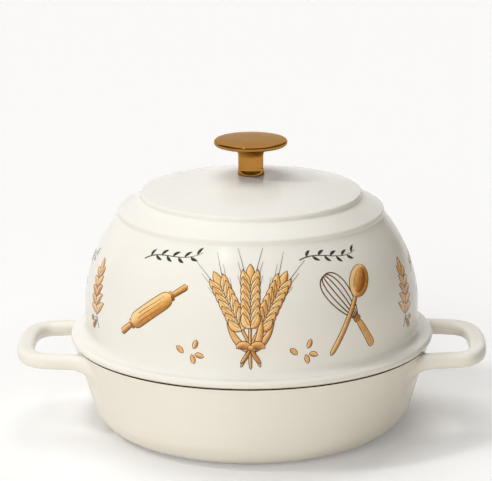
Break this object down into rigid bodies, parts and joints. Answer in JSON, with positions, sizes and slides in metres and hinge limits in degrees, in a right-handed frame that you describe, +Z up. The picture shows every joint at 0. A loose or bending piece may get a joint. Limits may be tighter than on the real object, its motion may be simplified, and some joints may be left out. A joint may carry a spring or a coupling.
{
  "type": "enamelled dutch oven",
  "caption": "Shallow enamelled cast-iron pot with loop handles, under a high stepped dome lid that lifts off by a gold mushroom knob, for baking bread.",
  "frame": {"origin": "centre of the underside of the base, on the surface that it stands on", "axes": "+X through the handles, +Z up along the axis of the bowl and lid, the picture's view looks along +Y"},
  "size_m": [0.343, 0.264, 0.2143],
  "materials": {
    "base_enamel": "glossy cream vitreous enamel over cast iron, sand-coloured inside, matt black at the rim",
    "lid_enamel": "glossy off-white vitreous enamel over cast iron, with a fired-on print of wheat ears, leaves and kitchen tools",
    "knob_gold": "gold plate, satin on top and polished on the edge and neck",
    "washer_steel": "plain stainless steel",
    "screw_steel": "plain stainless steel"
  },
  "bodies": {
    "base": {"base_pot": "base_enamel"},
    "lid": {"lid_dome": "lid_enamel", "lid_knob": "knob_gold", "knob_flat_washer": "washer_steel", "knob_spring_washer": "washer_steel", "knob_screw": "screw_steel"}
  },
  "joints": [
    {"name": "lid_lift", "type": "slide", "parent": "base", "child": "lid", "axis": [0, 0, 1], "range_m": [0, 0.09]}
  ]
}
